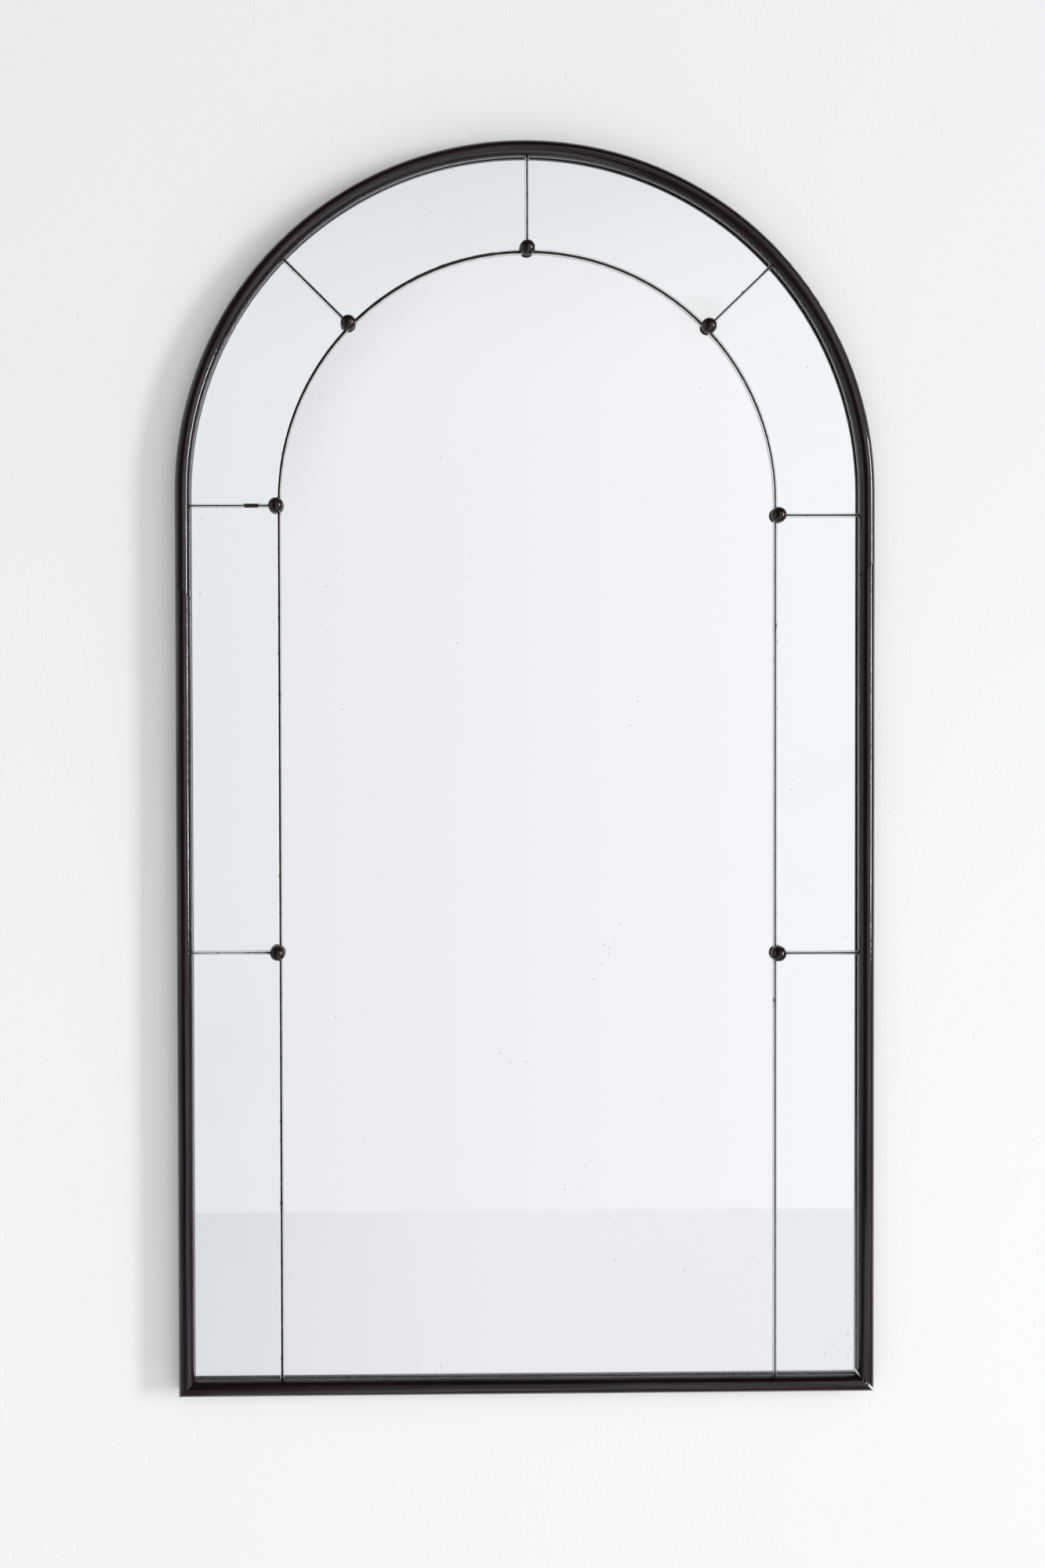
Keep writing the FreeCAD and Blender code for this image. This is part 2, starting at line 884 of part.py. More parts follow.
def hanger_blank(label, side):
    """A flat steel eye plate, round at both ends, with its hanging hole in the upper one."""
    x = side * (d.hanger_span / 2)
    radius = d.hanger_width / 2
    foot = hang_height - d.hanger_drop
    outline = [
        (x - radius, foot),
        Arc(x, foot, counter_clockwise=True),
        (x + radius, foot),
        (x + radius, hang_height),
        Arc(x, hang_height, counter_clockwise=True),
        (x - radius, hang_height),
    ]
    body = sheet_body(label, outline, 0, d.hanger_thickness)
    hole = new_sketch(body, "XZ_Plane")
    add_circles(hole, [(x, hang_height)], d.hanging_hole_radius)
    cut_forwards(body, hole)
    return body


def check_document():
    for item in doc.Objects:
        if "Invalid" in item.State or "Error" in item.State:
            raise RuntimeError(f"{item.Label} failed to compute")


def write_nodes(nodes):
    """Check every sub-part, then write each to its own file."""
    for node in nodes:
        if node.Shape.isNull() or not node.Shape.isValid() or not node.Shape.Solids:
            raise RuntimeError(f"{node.Label} has no valid shape")
    os.makedirs("parts", exist_ok=True)
    for node in nodes:
        node.Shape.exportStep(os.path.join("parts", f"{node.Label}.step"))


STUDS = stud_places()


def main():
    groups, bores = fasteners()
    frame_bores = join_bores("frame_bores", [bores["board_screws"], bores["joint_nails"]])
    screw_sets = ("stud_screws", "board_screws", "hanger_screws")
    board_bores = join_bores("board_bores", [bores[label] for label in screw_sets])
    nodes = [cut_by(label, blank, frame_bores) for label, blank in frame_blanks().items()]
    nodes.append(cut_by("back_board", board_blank(), board_bores))
    for side in Side:
        name = side.name.lower()
        blank = hanger_blank(f"{name}_hanger_blank", side)
        nodes.append(cut_by(f"{name}_hanger", blank, bores["hanger_screws"]))
    nodes.append(backing_felt())
    nodes.extend(panes())
    nodes.extend(stud(label, centre) for label, centre in STUDS.items())
    nodes.extend(groups)
    doc.recompute()
    check_document()
    write_nodes(nodes)


main()
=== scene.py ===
"""Looks for an arch-topped wall mirror: dark moulding, bordered mirror panes and turned studs."""

from math import pi, radians

import bmesh
import bpy
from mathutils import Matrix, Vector


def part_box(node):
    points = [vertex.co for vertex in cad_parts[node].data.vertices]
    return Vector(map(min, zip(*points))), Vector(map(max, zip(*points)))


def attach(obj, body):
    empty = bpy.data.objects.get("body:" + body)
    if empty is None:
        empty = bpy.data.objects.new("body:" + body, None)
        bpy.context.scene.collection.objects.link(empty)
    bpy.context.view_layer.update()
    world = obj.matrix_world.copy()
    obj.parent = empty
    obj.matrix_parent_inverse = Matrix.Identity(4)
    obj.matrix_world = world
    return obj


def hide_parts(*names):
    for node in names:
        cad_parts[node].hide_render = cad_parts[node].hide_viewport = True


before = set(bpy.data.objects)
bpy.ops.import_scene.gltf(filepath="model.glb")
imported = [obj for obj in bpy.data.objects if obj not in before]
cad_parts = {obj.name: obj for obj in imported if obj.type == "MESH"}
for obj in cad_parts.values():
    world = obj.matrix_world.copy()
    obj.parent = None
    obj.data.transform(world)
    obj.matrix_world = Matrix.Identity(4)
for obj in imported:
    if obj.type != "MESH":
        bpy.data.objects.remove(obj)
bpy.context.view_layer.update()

ROOT = "root"

# The room: its wall just behind the mirror, and its floor
WALL_Y = 0.0006
WALL_TOP_Z = 2.6
FLOOR_Z = -1.65
FLOOR_FRONT_Y = -2.05
FLOOR_BACK_Y = 3
ROOM_HALF_WIDTH = 4

# Where the part's faces and edges lie
GLASS_FRONT = -0.019
GLASS_BACK = -0.015
ARRIS_BACK = -0.0177
BOARD_BACK = -0.002
ARCH_CENTRE_Z = -0.102
HALF_WIDTH = 0.444
HOOP_MID_RADIUS = 0.434
LIP_RIGHT_X = 0.424
LIP_BOTTOM_Z = -1.230
LEFT_SCARF_Z = -0.215
RIGHT_SCARF_Z = -0.187
SCARF_GAP = 0.0008

# The glue's outline in a scarf: inset from the frame's outer edge, and depth from the wall
GLUE_SKIN = 0.00005
GLUE_SECTION = (
    (0.0006, -0.001),
    (0.0006, -0.022),
    (0.003, -0.0275),
    (0.0065, -0.0303),
    (0.010, -0.0313),
    (0.0135, -0.0303),
    (0.017, -0.0275),
    (0.0194, -0.0215),
    (0.0145, -0.0195),
    (0.0145, -0.0145),
    (0.0045, -0.0145),
    (0.0045, -0.001),
)

# The silver coat: short of the pane's edges, just inside its rear face
SILVER_INSET = 0.0003
SILVER_DEPTH = 0.00005
SILVER_THICKNESS = 0.00003

# Screws, with the core, tip, thread and slot as shares of their main sizes
SCREW_SIDES = 28
CORE_SHARE = 0.78
TIP_SHARE = 3.0
POINT_SHARE = 0.06
RIDGE_SHARE = 0.24
TURNS_PER_METRE = 700
STEPS_PER_TURN = 14
SLOT_LENGTH_SHARE = 2.6
SLOT_WIDTH_SHARE = 0.32
SLOT_DEPTH_SHARE = 0.9
SHARP_ANGLE = 0.6

BORDER_PANES = (
    "left_lower_pane",
    "left_middle_pane",
    "left_haunch_pane",
    "left_crown_pane",
    "right_lower_pane",
    "right_middle_pane",
    "right_haunch_pane",
    "right_crown_pane",
)
STUDS = (
    "stud_left_lower",
    "stud_left_middle",
    "stud_left_haunch",
    "stud_crown",
    "stud_right_haunch",
    "stud_right_middle",
    "stud_right_lower",
)

# Where pinholes gather in the silver: place, reach and how thickly
PINHOLES = (
    ((-0.404, -0.130), 0.016, 0.60),
    ((-0.403, -0.158), 0.016, 0.60),
    ((-0.365, -0.122), 0.014, 0.40),
    ((0.325, -0.290), 0.022, 0.65),
    ((0.325, -0.345), 0.018, 0.60),
    ((0.325, -0.470), 0.024, 0.55),
    ((0.404, -1.198), 0.030, 0.50),
)

# Other marks of age, and the centre of the arc that the mottled grey follows
CENTRE_PANE_ARC = (0.003, -0.113)
BLOOM_PLACE = (0.228, 0.126)
STAIN_PLACE = (-0.347, -0.118)
DUST_PLACE = (-0.395, -0.685)


class Value:
    """One output of a node. Arithmetic on it adds Math nodes."""

    def __init__(self, tree, socket):
        self.tree = tree
        self.socket = socket

    def out(self, name):
        return Value(self.tree, self.socket.node.outputs[name])

    def __add__(self, other):
        return self.tree.maths("ADD", self, other)

    def __radd__(self, other):
        return self.tree.maths("ADD", other, self)

    def __sub__(self, other):
        return self.tree.maths("SUBTRACT", self, other)

    def __rsub__(self, other):
        return self.tree.maths("SUBTRACT", other, self)

    def __mul__(self, other):
        return self.tree.maths("MULTIPLY", self, other)

    def __rmul__(self, other):
        return self.tree.maths("MULTIPLY", other, self)


class Tree:
    """A tree of nodes under construction, for a material, the world or a repeated piece."""

    def __init__(self, node_tree):
        self.nodes = node_tree.nodes
        self.links = node_tree.links
        self.nodes.clear()

    def node(self, kind, settings=None, inputs=None, output=0):
        """Adds a node: its settings first, then the values or links of its sockets."""
        made = self.nodes.new(kind)
        for name, setting in (settings or {}).items():
            if name == "stops":
                lay_stops(made.color_ramp, setting)
            else:
                setattr(made, name, setting)
        for name, given in (inputs or {}).items():
            if isinstance(given, Value):
                self.links.new(given.socket, made.inputs[name])
            elif isinstance(given, list):
                for one in given:
                    self.links.new(one.socket, made.inputs[name])
            else:
                made.inputs[name].default_value = given
        return Value(self, made.outputs[output]) if made.outputs else None

    def maths(self, operation, *terms):
        return self.node("ShaderNodeMath", {"operation": operation}, dict(enumerate(terms)))

    def mix(self, share, first, second):
        """One colour that turns into another."""
        sockets = {0: share, 6: first, 7: second}
        return self.node("ShaderNodeMix", {"data_type": "RGBA"}, sockets, 2)

    def fade(self, value, start, end):
        """Goes smoothly from 0 at start to 1 at end."""
        sockets = {"Value": value, "From Min": start, "From Max": end}
        return self.node("ShaderNodeMapRange", {"interpolation_type": "SMOOTHSTEP"}, sockets)

    def axes(self, point=None):
        point = point or self.node("ShaderNodeTexCoord", output="Object")
        split = self.node("ShaderNodeSeparateXYZ", inputs={0: point})
        return split, split.out("Y"), split.out("Z")

    def point(self, x, y, z):
        return self.node("ShaderNodeCombineXYZ", inputs={0: x, 1: y, 2: z})

    def noise(self, point, scale, detail=2.0, roughness=0.5):
        sockets = {"Vector": point, "Scale": scale, "Detail": detail, "Roughness": roughness}
        return self.node("ShaderNodeTexNoise", inputs=sockets)

    def bump(self, height, distance, strength=1.0):
        sockets = {"Height": height, "Distance": distance, "Strength": strength}
        return self.node("ShaderNodeBump", inputs=sockets)

    def surface(self, shader):
        self.node("ShaderNodeOutputMaterial", inputs={"Surface": shader})

    def principled(self, sockets):
        shader = self.node("ShaderNodeBsdfPrincipled", inputs=sockets)
        self.surface(shader)


def lay_stops(ramp, stops):
    """Sets a ramp's grey levels, from pairs of place and level."""
    while len(ramp.elements) < len(stops):
        ramp.elements.new(1.0)
    for element, (place, level) in zip(ramp.elements, stops):
        element.position = place
        element.color = (level, level, level, 1)


def new_finish(name):
    """A new material and its empty tree."""
    material = bpy.data.materials.new(name)
    material.use_nodes = True
    return material, Tree(material.node_tree)


def put_on(material, *nodes):
    """Gives CAD nodes their one material."""
    for node in nodes:
        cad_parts[node].data.materials.clear()
        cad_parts[node].data.materials.append(material)


def upright_grain(tree, x, z):
    """Along and across a stile."""
    return z, x


def level_grain(tree, x, z):
    """Along and across the rail."""
    return x, z


def bent_grain(tree, x, z):
    """Along and across the bent hoop and its two straight legs."""
    height = z - ARCH_CENTRE_Z
    rise = tree.maths("MAXIMUM", height, 0.0)
    angle = tree.maths("ARCTAN2", x, rise)
    reach = tree.maths("SQRT", x * x + rise * rise)
    return angle * HOOP_MID_RADIUS + (height - rise), reach


def moulding_wood(name, grain):
    """Near-black lacquer over a red hardwood, streaked along its length."""
    material, tree = new_finish(name)
    x, y, z = tree.axes()
    along, across = grain(tree, x, z)
    fine = tree.noise(tree.point(along * 9, across * 1100, y * 1100), 1.0, 3.0)
    broad = tree.noise(tree.point(along * 3.5, across * 240, y * 240), 1.0, 3.0, 0.6)
    ripple = tree.noise(tree.point(along * 150, across * 260, y * 260), 1.0, 2.0)
    worn = tree.noise(tree.point(along * 5 + 40, across * 460, y * 460), 1.0, 3.0, 0.6)
    red = tree.fade(broad, 0.50, 0.72)
    ebony = tree.mix(red * 0.85, (0.0064, 0.0026, 0.0056, 1), (0.028, 0.0078, 0.0085, 1))
    streaked = tree.mix(tree.fade(fine, 0.60, 0.76) * 0.4, ebony, (0.018, 0.011, 0.016, 1))
    rough = 0.06 + 0.09 * tree.fade(fine, 0.45, 0.75) + 0.05 * broad
    relief = tree.bump(fine * 0.12 + broad * 0.35 + ripple * 0.53, 0.00022)
    tree.principled(
        {
            "Base Color": streaked,
            "Roughness": rough,
            "Specular IOR Level": 0.36,
            "Coat Weight": 0.85 * tree.fade(worn, 0.36, 0.66),
            "Coat Roughness": 0.06,
            "Normal": relief,
        }
    )
    return material


def stud_wood(name, centre):
    """Gloss lacquer on turned wood, with its grain centred on one stud."""
    material, tree = new_finish(name)
    point = tree.node("ShaderNodeTexCoord", output="Object")
    sockets = {"Vector": point, "Location": tuple(-part for part in centre)}
    centred = tree.node("ShaderNodeMapping", inputs=sockets)
    x, y, z = tree.axes(centred)
    reach = tree.maths("SQRT", x * x + z * z)
    grain = tree.noise(tree.point(x * 900, y * 900, z * 120), 1.0, 3.0, 0.6)
    rings = tree.maths("SINE", reach * 9000 + grain * 4)
    figure = tree.fade(grain, 0.42, 0.68)
    brown = tree.mix(figure, (0.0062, 0.0030, 0.0028, 1), (0.024, 0.0092, 0.0066, 1))
    rough = 0.06 + 0.08 * figure
    relief = tree.bump(grain * 0.7 + rings * 0.15, 0.00003, 0.4)
    tree.principled({"Base Color": brown, "Roughness": rough, "Normal": relief})
    return material


def distance(tree, x, z, place):
    """How far a point of the mirror is from a place on it."""
    over = x - place[0]
    up = z - place[1]
    return tree.maths("SQRT", over * over + up * up)


def around(tree, x, z, place, reach):
    """1 at a place on the mirror and 0 from its reach outwards."""
    return tree.fade(distance(tree, x, z, place), reach, 0.0)


def pane_glass():
    """Clear sheet glass with a pale ground arris, grimy in the joints at the left."""
    material, tree = new_finish("pane_glass")
    x, y, z = tree.axes()
    spot = tree.point(x, y, z)
    clear = tree.node(
        "ShaderNodeBsdfPrincipled",
        inputs={
            "Base Color": (0.99, 0.997, 0.995, 1),
            "Roughness": 0.0,
            "IOR": 1.5,
            "Transmission Weight": 1.0,
        },
    )
    grit = tree.noise(spot, 1800.0, 2.0)
    ragged = tree.noise(spot, 90.0, 5.0, 0.7)
    sides = tree.fade(y, ARRIS_BACK - 0.0003, ARRIS_BACK + 0.0001)
    left = tree.fade(x, 0.06, -0.12) * tree.fade(x, -0.335, -0.322)
    stained = around(tree, x, z, STAIN_PLACE, 0.017)
    crusted = stained * tree.noise(spot, 420.0, 3.0, 0.6) * 0.6
    dirt = tree.fade(ragged + 0.40 * sides * left + crusted, 0.62, 0.70)
    stains = tree.maths("MAXIMUM", stained, tree.fade(tree.noise(spot, 26.0, 2.0), 0.54, 0.64))
    black = tree.mix(stains, (0.020, 0.016, 0.014, 1), (0.085, 0.040, 0.024, 1))
    pale = tree.mix(grit, (0.70, 0.73, 0.73, 1), (0.90, 0.92, 0.91, 1))
    frosted = tree.node(
        "ShaderNodeBsdfPrincipled",
        inputs={"Base Color": tree.mix(dirt, pale, black), "Roughness": 0.30 + 0.25 * grit},
    )
    ground = tree.fade(y, GLASS_FRONT + 0.00003, GLASS_FRONT + 0.00012)
    sockets = {0: ground * (0.55 + 0.45 * dirt), 1: clear, 2: frosted}
    tree.surface(tree.node("ShaderNodeMixShader", inputs=sockets))
    return material


def pane_foxing(tree, x, z, flat):
    """Mottled grey along the upper left edge of the centre pane."""
    reach = distance(tree, x, z, CENTRE_PANE_ARC)
    band = tree.fade(reach, 0.245, 0.314) * tree.fade(reach, 0.320, 0.318)
    flank = tree.fade(x, -0.06, -0.25) * tree.fade(z, -0.20, 0.03)
    return band * flank * tree.fade(tree.noise(flat, 480.0, 5.0, 0.75), 0.28, 0.72)


def pinholes(tree, x, z, flat):
    """Small round losses in the silver: rare, but thick in a few places."""
    cells = tree.node("ShaderNodeTexVoronoi", inputs={"Vector": flat, "Scale": 300.0})
    chance = tree.node("ShaderNodeSeparateColor", inputs={0: cells.out("Color")})
    worn = tree.noise(flat, 7.0, 3.0, 0.6) * 0.3
    for place, reach, share in PINHOLES:
        worn = worn + share * around(tree, x, z, place, reach)
    rare = tree.fade(chance + worn, 1.155, 1.165)
    size = chance.out("Green") * chance.out("Green") * 0.12 + 0.05
    rim = tree.noise(flat, 2500.0, 2.0) * 0.12
    return rare * tree.fade(cells + rim, size + 0.10, size + 0.05)


def painted_lip_reflection(tree, x, z, flat):
    """Painted reflection: speckled flat grey in place of the silver where the lip is mirrored, along
    the bottom, and up the right side.
    """
    bottom = tree.fade(z, LIP_BOTTOM_Z + 0.0055, LIP_BOTTOM_Z + 0.0010)
    right = tree.fade(x, LIP_RIGHT_X - 0.0055, LIP_RIGHT_X - 0.0015) * tree.fade(z, -0.7, -1.2)
    speckle = tree.fade(tree.noise(flat, 700.0, 3.0, 0.55), 0.30, 0.75)
    return tree.maths("MAXIMUM", bottom, right) * speckle * 0.6


def old_silver(name, colour, haze):
    """The silver coat of a pane, with the marks of its age, a painted reflection of the lip along its
    bottom and right edges, and a slight wave.
    """
    material, tree = new_finish(name)
    x, y, z = tree.axes()
    flat = tree.point(x, 0.0, z)
    holes = pinholes(tree, x, z, flat)
    # Painted reflection: flat speckled grey where the lip shows mirrored near the bottom and right
    # edges
    lip_reflection_mask = painted_lip_reflection(tree, x, z, flat)
    mist = tree.fade(tree.noise(flat, 4.0, 4.0, 0.6), 0.5, 0.85)
    cloudy = tree.mix(mist * haze, colour, (0.80, 0.80, 0.74, 1))
    drift = tree.fade(tree.noise(flat, 28.0, 3.0, 0.6), 0.25, 0.65)
    bloom = around(tree, x, z, BLOOM_PLACE, 0.05) * drift
    yellowed = tree.mix(bloom * 0.25, cloudy, (0.68, 0.63, 0.49, 1))
    foxing = pane_foxing(tree, x, z, flat)
    foxed = tree.mix(foxing * 0.32, yellowed, (0.42, 0.42, 0.45, 1))
    # The painted reflection of the lip turns the silver flat grey, dull and not metallic there
    greyed = tree.mix(lip_reflection_mask, foxed, (0.13, 0.15, 0.14, 1))
    spotted = tree.mix(holes, greyed, (0.02, 0.017, 0.015, 1))
    tree.principled(
        {
            "Base Color": spotted,
            "Metallic": (1 - holes) * (1 - lip_reflection_mask),
            "Roughness": 0.015 + 0.5 * holes + 0.4 * lip_reflection_mask + 0.03 * mist,
            "Normal": tree.bump(tree.noise(flat, 5.0, 1.0), 0.00012),
        }
    )
    return material


def felt_cloth():
    """Dark felt, with pale dust where one joint has let it in."""
    material, tree = new_finish("felt_cloth")
    x, y, z = tree.axes()
    spot = tree.point(x, y, z)
    fibre = tree.noise(spot, 900.0, 4.0, 0.7)
    brown = tree.mix(fibre, (0.010, 0.008, 0.008, 1), (0.040, 0.028, 0.022, 1))
    settled = tree.fade(tree.noise(spot, 160.0, 4.0, 0.6), 0.34, 0.54)
    dust = settled * around(tree, x, z, DUST_PLACE, 0.12)
    tree.principled(
        {
            "Base Color": tree.mix(dust, brown, (0.34, 0.38, 0.33, 1)),
            "Roughness": 0.95,
            "Sheen Weight": 0.25,
            "Normal": tree.bump(fibre, 0.0003, 0.6),
        }
    )
    return material


def plywood():
    """Rotary-cut veneer on the face, with the plies showing at the edges."""
    material, tree = new_finish("plywood")
    x, y, z = tree.axes()
    bend = tree.noise(tree.point(x * 2.2, y, z * 0.7), 1.0, 2.0)
    wander = tree.noise(tree.point(x * 40, y * 40, z * 2.5), 1.0, 3.0, 0.6)
    rings = tree.maths("SINE", (x * 21 + bend * 13 + wander * 2.4) * 2 * pi)
    pores = tree.noise(tree.point(x * 1400, y * 1400, z * 45), 1.0, 2.0, 0.6)
    figure = 0.5 + 0.5 * rings
    pale = tree.mix(figure * 0.45, (0.47, 0.31, 0.175, 1), (0.34, 0.205, 0.107, 1))
    pored = tree.mix(tree.fade(pores, 0.58, 0.75) * 0.6, pale, (0.17, 0.092, 0.045, 1))
    plies = tree.maths("PINGPONG", (y - BOARD_BACK) * 750, 1.0)
    inside = tree.fade(y, BOARD_BACK - 0.0002, BOARD_BACK - 0.0006)
    edge = tree.mix(tree.fade(plies, 0.4, 0.6), (0.40, 0.27, 0.155, 1), (0.21, 0.12, 0.062, 1))
    colour = tree.mix(inside, pored, edge)
    tree.principled(
        {
            "Base Color": colour,
            "Roughness": 0.62 + 0.2 * pores,
            "Normal": tree.bump(pores * 0.7 + wander * 0.3, 0.0002, 0.5),
        }
    )
    return material


def brushed_steel(name, colour, tarnish):
    """Steel with fine upright lines and brown tarnish in spots."""
    material, tree = new_finish(name)
    x, y, z = tree.axes()
    lines = tree.noise(tree.point(x * 3000, y * 3000, z * 60), 1.0, 3.0)
    spots = tree.noise(tree.point(x, y, z), 160.0, 4.0, 0.65)
    stained = tree.fade(spots, 0.52, 0.72) * tarnish
    tree.principled(
        {
            "Base Color": tree.mix(stained, colour, (0.16, 0.11, 0.075, 1)),
            "Metallic": 1 - 0.6 * stained,
            "Roughness": 0.28 + 0.15 * lines + 0.3 * stained,
            "Normal": tree.bump(lines, 0.00003, 0.5),
        }
    )
    return material


def washer_leather():
    """Brown leather with a fine grain."""
    material, tree = new_finish("washer_leather")
    x, y, z = tree.axes()
    spot = tree.point(x, y, z)
    cells = tree.node("ShaderNodeTexVoronoi", inputs={"Vector": spot, "Scale": 1500.0})
    cloudy = tree.noise(spot, 300.0, 3.0)
    brown = tree.mix(cloudy, (0.035, 0.018, 0.011, 1), (0.085, 0.048, 0.030, 1))
    tree.principled(
        {
            "Base Color": brown,
            "Roughness": 0.7 + 0.15 * cells,
            "Normal": tree.bump(cells, 0.0001, 0.5),
        }
    )
    return material


def merged_copy(node):
    """An editable copy of a CAD node with its corners joined."""
    mesh = bmesh.new()
    mesh.from_mesh(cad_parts[node].data)
    bmesh.ops.remove_doubles(mesh, verts=mesh.verts, dist=1e-6)
    return mesh


def mesh_data(name, mesh, *materials):
    """A finished mesh from an edited one."""
    data = bpy.data.meshes.new(name)
    mesh.to_mesh(data)
    mesh.free()
    for material in materials:
        data.materials.append(material)
    return data


def add_object(name, data):
    """A new object in the scene, at the origin."""
    made = bpy.data.objects.new(name, data)
    bpy.context.scene.collection.objects.link(made)
    return made


def add_piece(name, data):
    """A new piece of the dressed part, on its one body."""
    piece = add_object(name, data)
    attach(piece, ROOT)
    return piece


def lowest_left(corners):
    """Orders solids from the bottom up, and from left to right."""
    return round(min(c.z for c in corners), 3), round(min(c.x for c in corners), 3)


def islands(node):
    """The separate solids of a CAD node, as lists of their corners."""
    mesh = merged_copy(node)
    waiting = set(mesh.verts)
    found = []
    while waiting:
        island = [waiting.pop()]
        for vert in island:
            near = {edge.other_vert(vert) for edge in vert.link_edges} & waiting
            waiting -= near
            island.extend(near)
        found.append([vert.co.copy() for vert in island])
    mesh.free()
    return sorted(found, key=lowest_left)


def screw_sockets():
    """An empty group of nodes that takes points, the screws' sizes and their steel."""
    group = bpy.data.node_groups.new("slotted_screws", "GeometryNodeTree")
    add = group.interface.new_socket
    add("Points", in_out="INPUT", socket_type="NodeSocketGeometry")
    for size in ("Head radius", "Head depth", "Shank radius", "Length"):
        add(size, in_out="INPUT", socket_type="NodeSocketFloat")
    add("Seed", in_out="INPUT", socket_type="NodeSocketInt")
    add("Steel", in_out="INPUT", socket_type="NodeSocketMaterial")
    add("Screws", in_out="OUTPUT", socket_type="NodeSocketGeometry")
    return group


def lifted(tree, made, lift):
    sockets = {"Geometry": made, "Translation": tree.point(0.0, 0.0, lift)}
    return tree.node("GeometryNodeTransform", inputs=sockets)


def cone(tree, bottom, top, depth, lift):
    sockets = {"Vertices": SCREW_SIDES, "Radius Bottom": bottom, "Radius Top": top, "Depth": depth}
    return lifted(tree, tree.node("GeometryNodeMeshCone", inputs=sockets), lift)


def slotted_head(tree, radius, depth, shank):
    """A countersunk head with a slot across its flat."""
    length = radius * SLOT_LENGTH_SHARE
    size = tree.point(length, radius * SLOT_WIDTH_SHARE, depth * SLOT_DEPTH_SHARE)
    slot = tree.node("GeometryNodeMeshCube", inputs={"Size": size})
    sockets = {"Mesh 1": cone(tree, radius, shank, depth, 0.0), "Mesh 2": slot}
    return tree.node("GeometryNodeMeshBoolean", {"operation": "DIFFERENCE"}, sockets)


def screw_thread(tree, core, shank, run):
    """A ridge wound around the core."""
    helix = tree.node(
        "GeometryNodeCurveSpiral",
        inputs={
            "Resolution": STEPS_PER_TURN,
            "Rotations": run * TURNS_PER_METRE,
            "Start Radius": core,
            "End Radius": core,
            "Height": run,
        },
    )
    sockets = {"Resolution": 4, "Radius": shank * RIDGE_SHARE}
    ridge = tree.node("GeometryNodeCurvePrimitiveCircle", inputs=sockets)
    sockets = {"Curve": helix, "Profile Curve": ridge, "Fill Caps": True}
    return tree.node("GeometryNodeCurveToMesh", inputs=sockets)


def one_screw(tree, sizes):
    """Head, core, tip and thread, pointing up from the head's flat."""
    head_depth = sizes.out("Head depth")
    shank = sizes.out("Shank radius")
    length = sizes.out("Length")
    core = shank * CORE_SHARE
    tip = shank * TIP_SHARE
    run = length - head_depth - tip
    parts = [
        slotted_head(tree, sizes.out("Head radius"), head_depth, shank),
        cone(tree, core, core, run, head_depth),
        cone(tree, core, core * POINT_SHARE, tip, length - tip),
        lifted(tree, screw_thread(tree, core, shank, run), head_depth),
    ]
    return tree.node("GeometryNodeJoinGeometry", inputs={"Geometry": parts})


def shaded_smooth(tree, geometry):
    """Smooth shading, except across sharp edges."""
    smooth = tree.node("GeometryNodeSetShadeSmooth", inputs={"Geometry": geometry})
    angle = tree.node("GeometryNodeInputMeshEdgeAngle")
    sockets = {0: angle, 1: SHARP_ANGLE}
    gentle = tree.node("FunctionNodeCompare", {"operation": "LESS_THAN"}, sockets)
    sockets = {"Geometry": smooth, "Shade Smooth": gentle}
    return tree.node("GeometryNodeSetShadeSmooth", {"domain": "EDGE"}, sockets)


def screw_tree():
    """A slotted countersunk wood screw at each point, driven towards the front."""
    group = screw_sockets()
    tree = Tree(group)
    points = tree.node("NodeGroupInput")
    screw = one_screw(tree, points)
    sockets = {"Points": points, "Instance": screw, "Rotation": (pi / 2, 0, 0)}
    driven = tree.node("GeometryNodeInstanceOnPoints", inputs=sockets)
    sockets = {2: 0.0, 3: pi, "Seed": points.out("Seed")}
    chance = tree.node("FunctionNodeRandomValue", {"data_type": "FLOAT"}, sockets, 1)
    sockets = {"Instances": driven, "Rotation": tree.point(0.0, 0.0, chance)}
    turned = tree.node("GeometryNodeRotateInstances", inputs=sockets)
    real = tree.node("GeometryNodeRealizeInstances", inputs={"Geometry": turned})
    sockets = {"Geometry": shaded_smooth(tree, real), "Material": points.out("Steel")}
    finished = tree.node("GeometryNodeSetMaterial", inputs=sockets)
    tree.node("NodeGroupOutput", inputs={"Screws": finished})
    return group


def head_middle(corners):
    """The middle of a plain screw's flat."""
    x = (min(c.x for c in corners) + max(c.x for c in corners)) / 2
    z = (min(c.z for c in corners) + max(c.z for c in corners)) / 2
    return x, max(c.y for c in corners), z


def drive_screws(group, node, head_depth, shank, seed, steel):
    """Detailed screws in place of a CAD node's plain ones."""
    solids = islands(node)
    mesh = bmesh.new()
    for corners in solids:
        mesh.verts.new(head_middle(corners))
    depths = [c.y for c in solids[0]]
    widths = [c.x for c in solids[0]]
    holder = add_object(node + "_points", mesh_data(node + "_points", mesh))
    modifier = holder.modifiers.new("screws", "NODES")
    modifier.node_group = group
    sizes = {
        "Head radius": (max(widths) - min(widths)) / 2,
        "Head depth": head_depth,
        "Shank radius": shank,
        "Length": max(depths) - min(depths),
        "Seed": seed,
        "Steel": steel,
    }
    for item in group.interface.items_tree:
        if item.name in sizes:
            modifier[item.identifier] = sizes[item.name]
    graph = bpy.context.evaluated_depsgraph_get()
    made = bpy.data.meshes.new_from_object(holder.evaluated_get(graph))
    bpy.data.objects.remove(holder)
    piece = add_piece("slotted_" + node, made)
    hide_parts(node)


